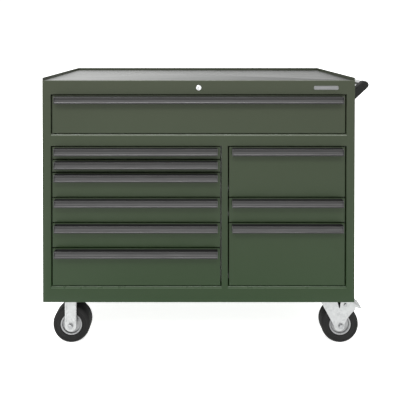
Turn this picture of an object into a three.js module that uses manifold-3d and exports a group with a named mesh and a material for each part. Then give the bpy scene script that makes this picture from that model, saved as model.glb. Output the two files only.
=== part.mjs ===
// Rolling tool chest: a sheet-steel cabinet on four casters, with one full-width drawer over a wide bank of
// six drawers and a narrow bank of three, a recessed top with a raised rim, a lock and a side handle.
// Millimetres, +Z up. The front faces -Y. The origin is the middle of the whole object's box, on the floor.
import * as THREE from 'three';
import { mergeVertices } from 'three/addons/utils/BufferGeometryUtils.js';
import Module from 'manifold-3d';

const wasm = await Module();
wasm.setup();

// ---- driving dimensions -------------------------------------------------------------------------------

// cabinet body
const bodyWidth = 1168;
const bodyDepth = 458;
const bodyHeight = 832;
const casterHeight = 176;
const sheet = 1.5;
const gap = 0.3;
const hem = 20;

// front frame: stiles, rails and the openings between them
const stile = 32.5;
const headRail = 52.5;
const topOpening = 148.4;
const midRail = 44.6;
const bankHeight = 527.8;
const leftBankWidth = 636;
const centrePost = 26;
const openingLip = 20;
const toeDepth = 8;

// drawers, listed from the top of each bank down
const leftPitches = [51, 48, 94.6, 94.6, 94.6, 145];
const rightPitches = [193.6, 94.6, 239.6];
const frontRecess = 2.5;
const frontGap = 2;
const firstDrop = 1.6;
const lastRise = 1;
const sideGap = 4;
const slideSpace = 13;
const boxDepth = 400;
const boxWall = 1.2;
const boxLift = 6;
const boxHeadroom = 17;
const frontFlange = 14.5;
const dividerHeadroom = 13;

// slide rails: the strip on the drawer and the channel around it
const stripHeight = 10;
const stripReach = 10;
const stripLevel = 16;
const stripClearance = 1.2;
const railPlate = 1.2;
const railFlange = 1.2;
const railFront = 24;
const railLength = 400;

// drawer pulls
const pullHeight = 26.5;
const pullInset = 10;
const pullDrop = 2.7;
const pullReach = 20;
const pullCap = 1.6;

// top
const rimHeight = 10.4;
const rimWall = 2;
const trayDrop = 4.1;
const skirtDrop = 11.7;
const matThickness = 2;
const noseDepth = 14;

// casters
const wheelRadius = 71;
const wheelWidth = 50;
const hubRadius = 41;
const hubBoss = 14;
const hubWeb = 33;
const webRecess = 9;
const rigidX = -487;
const kingpinX = 502;
const trail = 39;
const casterY = 176;
const legWall = 4;
const axleRadius = 6;
const axleHeadRadius = 10;
const axleHead = 5;
const pinClearance = 0.3;
const plateWidth = 100;
const plateDepth = 84;
const plateThick = 3;
const rigidLegHalf = 22;
const swivelLegEnd = 15;
const notchDepth = 28;
const crownZ = 167;
const crownThick = 5;
const raceRadius = 24;
const kingpinRadius = 7;
const kingpinHead = 11;
const pedalPin = 4;
const pedalReach = 17;
const pedalPivotZ = 152;

// side handle
const handleReach = 52.5;
const handleLevel = 987;
const armThick = 30;
const armDrop = 49;
const armWidth = 26;
const armY = 179;
const tubeRadius = 12.5;
const footThick = 7;
const footBelow = 14;
const footAbove = 20;

// lock
const lockLevel = 981.6;
const lockFlange = 10;
const lockBarrel = 8.5;
const cylinderRadius = 6.2;
const lockProud = 3;
const lockLength = 26;
const camThick = 2.7;
const camReach = 26;
const rodRadius = 4;
const rodStop = 16;

// ---- derived places -----------------------------------------------------------------------------------

const xRight = bodyWidth / 2;
const xLeft = -xRight;
const yFront = -bodyDepth / 2;
const yBack = bodyDepth / 2;
const zBottom = casterHeight;
const zTop = casterHeight + bodyHeight;
const zSkirt = zTop - skirtDrop;

const openLeft = xLeft + stile;
const openRight = xRight - stile;
const zTopDrawer = zTop - headRail;
const zTopDrawerFloor = zTopDrawer - topOpening;
const zBank = zTopDrawerFloor - midRail;
const zBankFloor = zBank - bankHeight;
const postLeft = openLeft + leftBankWidth;
const postRight = postLeft + centrePost;

const yFace = yFront + frontRecess;
const railStart = yFront + railFront;
const railEnd = railStart + railLength;

const wheelX = kingpinX + trail;
const tubeX = xRight + handleReach;

// ---- solids -------------------------------------------------------------------------------------------

function signedVolume(position, index) {
  const a = new THREE.Vector3();
  const b = new THREE.Vector3();
  const c = new THREE.Vector3();
  let volume = 0;
  for (let i = 0; i < index.count; i += 3) {
    a.fromBufferAttribute(position, index.getX(i));
    b.fromBufferAttribute(position, index.getX(i + 1));
    c.fromBufferAttribute(position, index.getX(i + 2));
    volume += a.dot(b.cross(c)) / 6;
  }
  return volume;
}

function solidOf(geometry) {
  geometry.deleteAttribute('normal');
  geometry.deleteAttribute('uv');
  const places = geometry.attributes.position.array;
  places.forEach((place, i) => {
    places[i] = Math.round(place * 1000) / 1000;
  });
  const merged = mergeVertices(geometry, 1e-4);
  const triVerts = new Uint32Array(merged.index.array);
  if (signedVolume(merged.attributes.position, merged.index) < 0) triVerts.reverse();
  const vertProperties = new Float32Array(merged.attributes.position.array);
  return new wasm.Manifold(new wasm.Mesh({ numProp: 3, vertProperties, triVerts }));
}

function geometryOf(solid) {
  const mesh = solid.getMesh();
  const geometry = new THREE.BufferGeometry();
  geometry.setAttribute('position', new THREE.BufferAttribute(new Float32Array(mesh.vertProperties), 3));
  geometry.setIndex(new THREE.BufferAttribute(new Uint32Array(mesh.triVerts), 1));
  geometry.computeVertexNormals();
  return geometry;
}

function box(x0, x1, y0, y1, z0, z1) {
  const geometry = new THREE.BoxGeometry(x1 - x0, y1 - y0, z1 - z0);
  geometry.translate((x0 + x1) / 2, (y0 + y1) / 2, (z0 + z1) / 2);
  return solidOf(geometry);
}

function joined(solids) {
  return solids.reduce((whole, solid) => whole.add(solid));
}

function extruded(shape, depth, segments = 6) {
  return new THREE.ExtrudeGeometry(shape, { depth, steps: 1, bevelEnabled: false, curveSegments: segments });
}

// a shape drawn in (y, z), run along X from x0 to x1
function alongX(shape, x0, x1) {
  const turn = new THREE.Matrix4().makeBasis(
    new THREE.Vector3(0, 1, 0),
    new THREE.Vector3(0, 0, 1),
    new THREE.Vector3(1, 0, 0),
  );
  return solidOf(extruded(shape, x1 - x0).applyMatrix4(turn).translate(x0, 0, 0));
}

// a shape drawn in (x, z), run along Y from y0 to y1
function alongY(shape, y0, y1, segments = 6) {
  const turn = new THREE.Matrix4().makeBasis(
    new THREE.Vector3(1, 0, 0),
    new THREE.Vector3(0, 0, 1),
    new THREE.Vector3(0, -1, 0),
  );
  return solidOf(extruded(shape, y1 - y0, segments).applyMatrix4(turn).translate(0, y1, 0));
}

// a profile of [radius, y] points turned about the Y axis, then moved to (x, z)
function turned(profile, segments, x, z) {
  const points = profile.map(([radius, y]) => new THREE.Vector2(radius, y));
  return solidOf(new THREE.LatheGeometry(points, segments).translate(x, 0, z));
}

function outline(points) {
  return new THREE.Shape(points.map(([u, v]) => new THREE.Vector2(u, v)));
}

function punch(shape, u, v, radius) {
  const hole = new THREE.Path();
  hole.absarc(u, v, radius, 0, 2 * Math.PI, true);
  shape.holes.push(hole);
  return shape;
}

// ---- materials and the group --------------------------------------------------------------------------

const finishes = {
  paint: { color: 0x4a5745, roughness: 0.42, metalness: 0.1 },
  pull: { color: 0x5b5b5c, roughness: 0.35, metalness: 0.8 },
  sheetGrey: { color: 0xb4b6b4, roughness: 0.3, metalness: 0.1 },
  zinc: { color: 0xe0e2e3, roughness: 0.35, metalness: 0.8 },
  hub: { color: 0xb8babb, roughness: 0.4, metalness: 0.8 },
  tyre: { color: 0x2a2a2a, roughness: 0.8, metalness: 0 },
  black: { color: 0x2a2c2a, roughness: 0.5, metalness: 0 },
  tube: { color: 0xc4c6c7, roughness: 0.2, metalness: 1 },
  chrome: { color: 0xd8dadb, roughness: 0.15, metalness: 1 },
};

const pieces = new THREE.Group();

function addPiece(name, solid, finish) {
  const material = new THREE.MeshStandardMaterial(finishes[finish]);
  const mesh = new THREE.Mesh(geometryOf(solid), material);
  mesh.name = name;
  pieces.add(mesh);
}

// ---- cabinet ------------------------------------------------------------------------------------------

function sidePanel(side) {
  const x = (u0, u1) => (side < 0 ? [xLeft + u0, xLeft + u1] : [xRight - u1, xRight - u0]);
  const front = yFront + sheet + gap;
  const high = zSkirt - gap;
  const pocket = box(...x(sheet, hem + 1), front - 1, yBack - sheet, zBottom + sheet, high + 1);
  const toeRoom = box(...x(sheet, hem + 1), front - 1, yFront + toeDepth + gap, zBottom - 1, zBottom + hem);
  return box(...x(0, hem), front, yBack, zBottom, high).subtract(pocket).subtract(toeRoom);
}

function backPanel() {
  const y = yBack - sheet - gap;
  const ribDepth = 4;
  const ribSlope = 5;
  const ribFlat = 14;
  const low = zBottom + 2 * sheet + 2 * gap;
  const high = zSkirt - gap;
  const ribs = 3;
  const inner = [[y - sheet, low]];
  const outer = [[y, low]];
  for (let i = 1; i <= ribs; i += 1) {
    const z = low + ((high - low) * i) / (ribs + 1);
    const step = ribFlat / 2 + ribSlope;
    const corners = [[0, -step], [ribDepth, -ribFlat / 2], [ribDepth, ribFlat / 2], [0, step]];
    corners.forEach(([inward, up]) => {
      outer.push([y - inward, z + up]);
      inner.push([y - sheet - inward, z + up]);
    });
  }
  outer.push([y, high]);
  inner.push([y - sheet, high]);
  return alongX(outline([...outer, ...inner.reverse()]), xLeft + sheet + gap, xRight - sheet - gap);
}

function bottomPanel() {
  const x = xRight - sheet - gap;
  const front = yFront + sheet + gap;
  const back = yBack - 2 * sheet - 7 * gap - 4;
  const z = zBottom + sheet + gap;
  return box(-x, x, front, back, z, z + hem)
    .subtract(box(-x + sheet, x - sheet, front + sheet, back - sheet, z + sheet, z + hem + 1));
}

const openings = [
  [openLeft, openRight, zTopDrawerFloor, zTopDrawer],
  [openLeft, postLeft, zBankFloor, zBank],
  [postRight, openRight, zBankFloor, zBank],
];

function frontFrame() {
  const lipEnd = yFront + openingLip;
  const lip = ([x0, x1, z0, z1]) => box(x0 - sheet, x1 + sheet, yFront, lipEnd, z0 - sheet, z1 + sheet);
  const hole = ([x0, x1, z0, z1]) => box(x0, x1, yFront - 1, lipEnd + 1, z0, z1);
  const nose = xRight - rimWall - gap;
  const toe = xRight - sheet - gap;
  const plate = joined([
    box(xLeft, xRight, yFront, yFront + sheet, zBottom, zTop),
    box(-nose, nose, yFront, yFront + noseDepth, zTop - sheet, zTop),
    box(-toe, toe, yFront, yFront + toeDepth, zBottom, zBottom + sheet),
    ...openings.map(lip),
  ]);
  const lockHole = new THREE.Shape().absarc(0, lockLevel, lockBarrel + pinClearance, 0, 2 * Math.PI);
  const cuts = joined([...openings.map(hole), alongY(lockHole, yFront - 1, yFront + sheet + 1, 12)]);
  return plate.subtract(cuts);
}

function topTray() {
  const front = yFront + sheet + gap;
  const high = zTop + rimHeight;
  const floor = zTop - trayDrop;
  const x = xRight - rimWall;
  const back = yBack - rimWall;
  return box(xLeft, xRight, front, yBack, zSkirt, high)
    .subtract(box(-x, x, front - 1, back, floor + sheet, high + 1))
    .subtract(box(-x, x, front - 1, back, zSkirt - 1, floor));
}

function topMat() {
  const x = xRight - rimWall - 2 * gap;
  const z = zTop - trayDrop + sheet + gap;
  return box(-x, x, yFront + noseDepth + gap, yBack - rimWall - 2 * gap, z, z + matThickness);
}

function bankDivider() {
  const x0 = postLeft + railPlate + gap;
  const x1 = postRight - railPlate - gap;
  const low = zBottom + 2 * sheet + 2 * gap;
  const high = zTopDrawerFloor - dividerHeadroom;
  return box(x0, x1, railStart, railEnd, low, high)
    .subtract(box(x0 + sheet, x1 - sheet, railStart + sheet, railEnd + 1, low - 1, high + 1));
}

addPiece('left_side_panel', sidePanel(-1), 'paint');
addPiece('right_side_panel', sidePanel(1), 'paint');
addPiece('back_panel', backPanel(), 'paint');
addPiece('bottom_panel', bottomPanel(), 'paint');
addPiece('front_frame', frontFrame(), 'paint');
addPiece('top_tray', topTray(), 'paint');
addPiece('top_mat', topMat(), 'sheetGrey');
addPiece('bank_divider', bankDivider(), 'paint');

// ---- drawers ------------------------------------------------------------------------------------------

// the slots of one bank, from the top down: the front's low and high edges
function slots(pitches, zHigh) {
  let z = zHigh;
  return pitches.map((pitch, i) => {
    const high = z - frontGap - (i === 0 ? firstDrop : 0);
    z -= pitch;
    const low = z + frontGap + (i === pitches.length - 1 ? lastRise : 0);
    return { low, high };
  });
}

const banks = [
  { name: 'top', x0: openLeft, x1: openRight, slots: slots([topOpening], zTopDrawer) },
  { name: 'left', x0: openLeft, x1: postLeft, slots: slots(leftPitches, zBank) },
  { name: 'right', x0: postRight, x1: openRight, slots: slots(rightPitches, zBank) },
];

function drawerBox({ x0, x1 }, { low, high }) {
  const left = x0 + sideGap;
  const right = x1 - sideGap;
  const face = box(left, right, yFace, yFace + frontFlange, low, high)
    .subtract(box(left + boxWall, right - boxWall, yFace + sheet, yFace + frontFlange + 1,
      low + boxWall, high - boxWall));
  const inLeft = x0 + slideSpace;
  const inRight = x1 - slideSpace;
  const floor = low + boxLift;
  const top = high - boxHeadroom + boxLift;
  const back = yFace + boxDepth;
  const shell = box(inLeft, inRight, yFace + sheet / 2, back, floor, top).subtract(box(
    inLeft + boxWall, inRight - boxWall, yFace + sheet, back - boxWall, floor + boxWall, top + 1));
  const mid = floor + stripLevel - stripHeight / 2;
  const strip = (a, b) => box(a, b, railStart, back, mid, mid + stripHeight);
  return joined([
    face,
    shell,
    strip(inLeft - stripReach, inLeft + boxWall / 2),
    strip(inRight - boxWall / 2, inRight + stripReach),
  ]);
}

// section of a pull in (out, up), from the drawer's face: a back leaf, a closed bottom and a front wall with
// a bead along its top edge, a groove below it and a skirt that flares outwards
function pullSection() {
  const section = new THREE.Shape();
  section.moveTo(0, 0);
  section.lineTo(pullReach - 2, 0);
  section.quadraticCurveTo(pullReach, 0, pullReach, 3);
  section.quadraticCurveTo(15.7, 8, 15, 14.5);
  section.lineTo(14.6, 19);
  section.lineTo(15.2, 21.6);
  section.absarc(16.4, 24.2, 2.3, -1.9, 2.4, false);
  section.lineTo(12.8, 21);
  section.lineTo(12.9, 14.5);
  section.quadraticCurveTo(13.3, 8, 15.8, 2.4);
  section.lineTo(1.8, 2.4);
  section.lineTo(1.8, pullHeight);
  section.lineTo(0, pullHeight);
  section.closePath();
  return section;
}

function capSection() {
  const beadTop = [[18.5, 24.4], [16.8, pullHeight - 0.3], [0, pullHeight]];
  return outline([[0, 0], [18, 0], [19.6, 3], [18, 8], ...beadTop]);
}

function drawerPull({ x0, x1 }, { high }) {
  const left = x0 + sideGap + pullInset;
  const right = x1 - sideGap - pullInset;
  const placed = (section) => {
    const low = high - pullDrop - pullHeight;
    const points = section.getPoints(4).map((p) => [yFace - gap - p.x, low + p.y]);
    return outline(points.reverse());
  };
  return joined([
    alongX(placed(pullSection()), left + pullCap / 2, right - pullCap / 2),
    alongX(placed(capSection()), left, left + pullCap),
    alongX(placed(capSection()), right - pullCap, right),
  ]);
}

// a slide rail: an upright plate with one channel for each drawer; wide ones reach back to the side panel
function slideRail(bank, side, reach) {
  const edge = side < 0 ? bank.x0 : bank.x1;
  const x = (inward) => edge - side * inward;
  const span = (a, b) => [Math.min(x(a), x(b)), Math.max(x(a), x(b))];
  const low = bank.slots[bank.slots.length - 1].low;
  const high = bank.slots[0].high;
  const parts = [box(...span(-railPlate, 0), railStart, railEnd, low, high)];
  bank.slots.forEach((slot) => {
    const middle = slot.low + boxLift + stripLevel;
    const offset = stripHeight / 2 + stripClearance;
    const flange = (z) => box(...span(-railPlate / 2, stripReach), railStart, railEnd, z, z + railFlange);
    parts.push(flange(middle + offset), flange(middle - offset - railFlange));
  });
  if (reach > 0) {
    parts.push(box(...span(-reach, 0), railStart, railStart + railPlate, low, high));
    parts.push(box(...span(-reach, 0), railEnd - railPlate, railEnd, low, high));
  }
  return joined(parts);
}

const toSidePanel = stile - sheet - gap;
const railReach = { top: [toSidePanel, toSidePanel], left: [toSidePanel, 0], right: [0, toSidePanel] };

banks.forEach((bank) => {
  const [reachLeft, reachRight] = railReach[bank.name];
  addPiece(`${bank.name}_bank_left_rail`, slideRail(bank, -1, reachLeft), 'zinc');
  addPiece(`${bank.name}_bank_right_rail`, slideRail(bank, 1, reachRight), 'zinc');
  bank.slots.forEach((slot, i) => {
    const label = bank.name === 'top' ? 'top' : `${bank.name}_${i + 1}`;
    addPiece(`drawer_${label}`, drawerBox(bank, slot), 'paint');
    addPiece(`pull_${label}`, drawerPull(bank, slot), 'pull');
  });
});

// ---- casters ------------------------------------------------------------------------------------------

const plateTop = zBottom + sheet;
const plateLow = plateTop - plateThick;
const legInner = wheelWidth / 2 + 3;
const legOuter = legInner + legWall;

// a profile given from the middle outwards on one side, repeated on the other side and closed
function mirrored(points, y) {
  const near = points.map(([radius, out]) => [radius, y - out]);
  const far = points.map(([radius, out]) => [radius, y + out]).reverse();
  return [...near, ...far, near[0]];
}

function axle(x, y) {
  const out = legOuter + gap;
  return turned([
    [0, y - out - axleHead], [axleHeadRadius, y - out - axleHead], [axleHeadRadius, y - out],
    [axleRadius, y - out], [axleRadius, y + out], [axleHeadRadius, y + out],
    [axleHeadRadius, y + out + axleHead], [0, y + out + axleHead],
  ], 12, x, wheelRadius);
}

function hub(x, y) {
  const half = wheelWidth / 2;
  const side = [
    [axleRadius + pinClearance, half + 1], [hubBoss, half + 1], [hubBoss + 2, half - 6],
    [hubWeb, half - webRecess], [hubRadius, half - 4],
  ];
  return turned(mirrored(side, y), 24, x, wheelRadius);
}

function tyre(x, y) {
  const half = wheelWidth / 2;
  const inner = hubRadius + gap;
  const side = [
    [inner, half - 5], [inner + 3, half], [wheelRadius - 9, half], [wheelRadius - 2.5, half - 5],
    [wheelRadius, half - 15],
  ];
  return turned(mirrored(side, y), 24, x, wheelRadius);
}

// one leg's outline in (x, z): its top edge from right to left, then down to a round end about the axle
function legShape(topEdge, x, endRadius) {
  const shape = new THREE.Shape();
  topEdge.forEach(([u, v], i) => (i === 0 ? shape.moveTo(u, v) : shape.lineTo(u, v)));
  shape.lineTo(x - endRadius, wheelRadius + 4);
  shape.absarc(x, wheelRadius, endRadius, Math.PI, 2 * Math.PI, false);
  shape.lineTo(x + endRadius, wheelRadius + 4);
  shape.closePath();
  return punch(shape, x, wheelRadius, axleRadius + pinClearance);
}

function legs(shape, y) {
  return [
    alongY(shape, y - legOuter, y - legInner),
    alongY(shape, y + legInner, y + legOuter),
  ];
}

function topPlate(x, y) {
  const u = plateWidth / 2;
  const v = plateDepth / 2;
  return box(x - u, x + u, y - v, y + v, plateLow, plateTop);
}

function rigidFork(y) {
  const high = plateLow + 1;
  const topEdge = [[rigidX + rigidLegHalf, high], [rigidX - rigidLegHalf, high]];
  const shape = legShape(topEdge, rigidX, rigidLegHalf);
  return joined([topPlate(rigidX, y), ...legs(shape, y)]);
}

function swivelPlate(y) {
  const pin = (r0, z0, z1) => {
    const disc = new THREE.Shape().absarc(kingpinX, y, r0, 0, 2 * Math.PI);
    return solidOf(extruded(disc, z1 - z0, 12).translate(0, 0, z0));
  };
  return joined([
    topPlate(kingpinX, y),
    pin(raceRadius, crownZ + gap, plateLow + 1),
    pin(kingpinRadius, crownZ - crownThick - 4, crownZ + 1),
    pin(kingpinHead, crownZ - crownThick - 5, crownZ - crownThick - gap),
  ]);
}

const pedalPivotX = wheelX + pedalReach;

// a swivel leg spreads upwards into two arms, one under the crown and one about the pedal's pin
function swivelFork(y) {
  const crown = new THREE.Shape().absarc(kingpinX, y, legOuter + 3, 0, 2 * Math.PI);
  punch(crown, kingpinX, y, kingpinRadius + pinClearance);
  const high = crownZ - 1;
  const notch = [[wheelX, high], [wheelX - 5, high - notchDepth], [wheelX - 14, high]];
  const topEdge = [[wheelX + 58, high], ...notch, [kingpinX - 38, high]];
  const shape = legShape(topEdge, wheelX, swivelLegEnd);
  punch(shape, pedalPivotX, pedalPivotZ, pedalPin + pinClearance);
  return joined([
    solidOf(extruded(crown, crownThick, 10).translate(0, 0, crownZ - crownThick)),
    ...legs(shape, y),
  ]);
}

// the brake pedal: a pressed channel over the wheel, between the fork's legs, on its own cross pin
function brakePedal(y) {
  const corners = [[-10, 5], [-10, -5], [12, -9], [40, -17], [64, -22], [66, -17], [46, -2], [22, 6]];
  const side = outline(corners.map(([u, v]) => [pedalPivotX + u, pedalPivotZ + v]));
  const pin = new THREE.Shape().absarc(pedalPivotX, pedalPivotZ, pedalPin, 0, 2 * Math.PI);
  return joined([
    alongY(side, y - legInner + 2, y + legInner - 2),
    alongY(pin, y - legOuter - 3, y + legOuter + 3, 6),
  ]);
}

[['front', -casterY], ['rear', casterY]].forEach(([end, y]) => {
  addPiece(`rigid_fork_${end}`, rigidFork(y), 'zinc');
  addPiece(`rigid_axle_${end}`, axle(rigidX, y), 'zinc');
  addPiece(`rigid_hub_${end}`, hub(rigidX, y), 'hub');
  addPiece(`rigid_tyre_${end}`, tyre(rigidX, y), 'tyre');
  addPiece(`swivel_plate_${end}`, swivelPlate(y), 'zinc');
  addPiece(`swivel_fork_${end}`, swivelFork(y), 'zinc');
  addPiece(`swivel_axle_${end}`, axle(wheelX, y), 'zinc');
  addPiece(`swivel_hub_${end}`, hub(wheelX, y), 'hub');
  addPiece(`swivel_tyre_${end}`, tyre(wheelX, y), 'tyre');
  addPiece(`brake_pedal_${end}`, brakePedal(y), 'zinc');
});

// ---- side handle --------------------------------------------------------------------------------------

// an arm in (x, z): a foot on the side panel and a bar rising outwards to a round end about the tube
function handleArm(y) {
  const x0 = xRight + gap;
  const half = armThick / 2;
  const angle = Math.atan2(armDrop, handleReach);
  const baseZ = handleLevel - armDrop;
  const lift = half / Math.cos(angle);
  const arm = new THREE.Shape();
  arm.moveTo(x0, baseZ - lift - footBelow);
  arm.lineTo(x0 + footThick, baseZ - lift - footBelow);
  arm.lineTo(x0 + footThick, baseZ - lift + footThick * Math.tan(angle));
  arm.absarc(tubeX, handleLevel, half, angle - Math.PI / 2, angle + Math.PI / 2, false);
  arm.lineTo(x0 + footThick, baseZ + lift + footThick * Math.tan(angle));
  arm.lineTo(x0 + footThick, baseZ + lift + footAbove);
  arm.lineTo(x0, baseZ + lift + footAbove);
  arm.closePath();
  return alongY(arm, y - armWidth / 2, y + armWidth / 2, 10);
}

const tubeEnd = armY - armWidth / 2 - gap;
const tubeProfile = [[0, -tubeEnd], [tubeRadius, -tubeEnd], [tubeRadius, tubeEnd], [0, tubeEnd]];

addPiece('side_handle_bracket_front', handleArm(-armY), 'black');
addPiece('side_handle_bracket_rear', handleArm(armY), 'black');
addPiece('side_handle_tube', turned(tubeProfile, 20, tubeX, handleLevel), 'tube');

// ---- lock ---------------------------------------------------------------------------------------------

const barrelEnd = yFront + lockLength;
const bore = cylinderRadius + pinClearance;
const lockFace = yFront - lockProud;

const lockHousing = turned([
  [bore, lockFace], [lockFlange - 1.5, lockFace], [lockFlange, lockFace + 1.5], [lockFlange, yFront - gap],
  [lockBarrel, yFront - gap], [lockBarrel, barrelEnd], [bore, barrelEnd], [bore, lockFace],
], 24, 0, lockLevel);

const keySlot = box(-0.9, 0.9, lockFace - 1, yFront + 8, lockLevel - 3.2, lockLevel + 3.2);
const camStart = barrelEnd + gap;
const camEnd = camStart + camThick;
const cylinderFace = lockFace + 0.6;
const cylinder = joined([
  turned([[0, cylinderFace], [cylinderRadius, cylinderFace], [cylinderRadius, camEnd], [0, camEnd]],
    20, 0, lockLevel),
  box(-7, 7, camStart, camEnd, lockLevel - camReach, lockLevel + 7),
]).subtract(keySlot);

const rodStart = camEnd + gap;
const rodEnd = yBack - rodStop;
const lockRod = joined([
  turned([[0, rodStart], [rodRadius, rodStart], [rodRadius, rodEnd], [0, rodEnd]], 10, 0, lockLevel),
  box(-6, 6, rodEnd - 6, rodEnd - 1, lockLevel - 34, lockLevel + 6),
]);

addPiece('lock_housing', lockHousing, 'chrome');
addPiece('lock_cylinder', cylinder, 'chrome');
addPiece('lock_rod', lockRod, 'zinc');

// ---- the object, about the middle of its own box ------------------------------------------------------

const boxRight = tubeX + armThick / 2;
const boxFront = yFace - gap - pullReach;
const chest = new THREE.Group();
chest.add(pieces);
pieces.position.set(-(xLeft + boxRight) / 2, -(boxFront + yBack) / 2, 0);

export default chest;
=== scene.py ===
"""Looks for the rolling tool chest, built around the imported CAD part. Metres; the drawers open towards -Y."""

import math

import bmesh
import bpy
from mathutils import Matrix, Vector


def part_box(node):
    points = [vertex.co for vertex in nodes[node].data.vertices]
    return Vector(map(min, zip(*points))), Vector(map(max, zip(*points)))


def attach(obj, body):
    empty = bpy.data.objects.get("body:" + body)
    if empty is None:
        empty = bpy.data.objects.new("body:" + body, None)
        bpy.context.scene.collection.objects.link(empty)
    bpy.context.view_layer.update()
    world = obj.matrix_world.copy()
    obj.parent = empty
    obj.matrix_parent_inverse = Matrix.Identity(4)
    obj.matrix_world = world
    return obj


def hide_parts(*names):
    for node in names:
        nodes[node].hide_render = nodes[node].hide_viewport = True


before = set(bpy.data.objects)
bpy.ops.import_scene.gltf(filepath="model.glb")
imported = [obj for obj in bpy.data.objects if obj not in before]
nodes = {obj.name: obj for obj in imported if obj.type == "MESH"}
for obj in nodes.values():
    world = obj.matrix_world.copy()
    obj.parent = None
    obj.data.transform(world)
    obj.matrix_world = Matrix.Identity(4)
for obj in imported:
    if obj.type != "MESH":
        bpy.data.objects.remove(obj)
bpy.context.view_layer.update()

MM = 0.001
scene = bpy.context.scene

# ---- places taken from the frame ------------------------------------------------------------------------

front_low, front_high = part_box("front_frame")
face_y = front_low.y
back_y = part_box("left_side_panel")[1].y
left_x, right_x = front_low.x, front_high.x
middle_x = (left_x + right_x) / 2
bottom_z, top_z = front_low.z, front_high.z

SIDE_GAP = 4 * MM
TOP_GAP = 3.6 * MM
BOTTOM_GAP = 3 * MM


def opening(highest, lowest):
    """The opening in the front frame that holds the drawers from highest down to lowest: x0, x1, z0, z1."""
    high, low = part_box(highest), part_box(lowest)
    return high[0].x - SIDE_GAP, high[1].x + SIDE_GAP, low[0].z - BOTTOM_GAP, high[1].z + TOP_GAP


openings = [
    opening("drawer_top", "drawer_top"),
    opening("drawer_left_1", "drawer_left_6"),
    opening("drawer_right_1", "drawer_right_3"),
]
drawers = sorted(name[len("drawer_"):] for name in nodes if name.startswith("drawer_"))

# ---- camera ---------------------------------------------------------------------------------------------

CAMERA_DISTANCE = 1.477
CAMERA_HEIGHT = 1.174
CAMERA_PITCH = 0.45
CAMERA_SIDE = -0.013
FOCAL_PIXELS = 396.2
FRAME_PIXELS = 400
SENSOR = 36.0
SHIFT_X, SHIFT_Y = 0.012, -0.402

camera = bpy.data.objects.new("camera", bpy.data.cameras.new("camera"))
camera.data.sensor_width = SENSOR
camera.data.lens = FOCAL_PIXELS * SENSOR / FRAME_PIXELS
camera.data.shift_x = SHIFT_X
camera.data.shift_y = SHIFT_Y
camera.location = (middle_x + CAMERA_SIDE, face_y - CAMERA_DISTANCE, CAMERA_HEIGHT)
camera.rotation_euler = (math.radians(90 - CAMERA_PITCH), 0, 0)
scene.collection.objects.link(camera)
scene.camera = camera

# ---- materials ------------------------------------------------------------------------------------------


def node_material(name, base, metallic=0.0, roughness=0.4, specular=0.5):
    """A new material with its shader's constant values set. Returns it with its node tree and its shader."""
    material = bpy.data.materials.new(name)
    material.use_nodes = True
    shader = material.node_tree.nodes["Principled BSDF"]
    shader.inputs["Base Color"].default_value = (*base, 1)
    shader.inputs["Metallic"].default_value = metallic
    shader.inputs["Roughness"].default_value = roughness
    shader.inputs["Specular IOR Level"].default_value = specular
    material.diffuse_color = (*base, 1)
    return material, material.node_tree, shader


def noise(tree, scale, detail=3.0, stretch=(1, 1, 1), kind="ShaderNodeTexNoise"):
    """A 3-D pattern in the object's own metres; stretch divides its scale along each axis."""
    place = tree.nodes.new("ShaderNodeTexCoord")
    mapping = tree.nodes.new("ShaderNodeMapping")
    mapping.inputs["Scale"].default_value = tuple(1 / s for s in stretch)
    pattern = tree.nodes.new(kind)
    pattern.inputs["Scale"].default_value = scale
    if kind == "ShaderNodeTexNoise":
        pattern.inputs["Detail"].default_value = detail
    tree.links.new(place.outputs["Object"], mapping.inputs["Vector"])
    tree.links.new(mapping.outputs["Vector"], pattern.inputs["Vector"])
    return pattern


def ramp(tree, source, low, high, start=0.3, end=0.7):
    """Colours or greys from low to high as the source goes from start to end."""
    node = tree.nodes.new("ShaderNodeValToRGB")
    first, last = node.color_ramp.elements
    first.position, last.position = start, end
    first.color = (*low, 1) if isinstance(low, tuple) else (low, low, low, 1)
    last.color = (*high, 1) if isinstance(high, tuple) else (high, high, high, 1)
    tree.links.new(source, node.inputs["Fac"])
    return node.outputs["Color"]


def bump(tree, shader, source, depth, before=None):
    """Relief from a pattern, depth metres deep, on top of an earlier relief where one is given."""
    node = tree.nodes.new("ShaderNodeBump")
    node.inputs["Strength"].default_value = 1.0
    node.inputs["Distance"].default_value = depth
    tree.links.new(source, node.inputs["Height"])
    if before is not None:
        tree.links.new(before, node.inputs["Normal"])
    tree.links.new(node.outputs["Normal"], shader.inputs["Normal"])
    return node.outputs["Normal"]


def shade(colour, factor):
    """A colour made lighter or darker by a factor."""
    return tuple(c * factor for c in colour)


def graded(tree, axis, start, end, low, high):
    """A colour that goes from low to high along one of the object's axes, between two places in metres."""
    place = tree.nodes.new("ShaderNodeTexCoord")
    split = tree.nodes.new("ShaderNodeSeparateXYZ")
    span = tree.nodes.new("ShaderNodeMapRange")
    span.inputs["From Min"].default_value = start
    span.inputs["From Max"].default_value = end
    tree.links.new(place.outputs["Object"], split.inputs["Vector"])
    tree.links.new(split.outputs[axis], span.inputs["Value"])
    return ramp(tree, span.outputs["Result"], low, high, 0.0, 1.0)


# a mix node's sockets for colours, which share their names with its other sockets
COLOUR_A, COLOUR_B, COLOUR_RESULT = 6, 7, 2


def times(tree, first, second):
    """Two colours multiplied."""
    mix = tree.nodes.new("ShaderNodeMix")
    mix.data_type = "RGBA"
    mix.blend_type = "MULTIPLY"
    mix.inputs["Factor"].default_value = 1.0
    tree.links.new(first, mix.inputs[COLOUR_A])
    tree.links.new(second, mix.inputs[COLOUR_B])
    return mix.outputs[COLOUR_RESULT]


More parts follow.
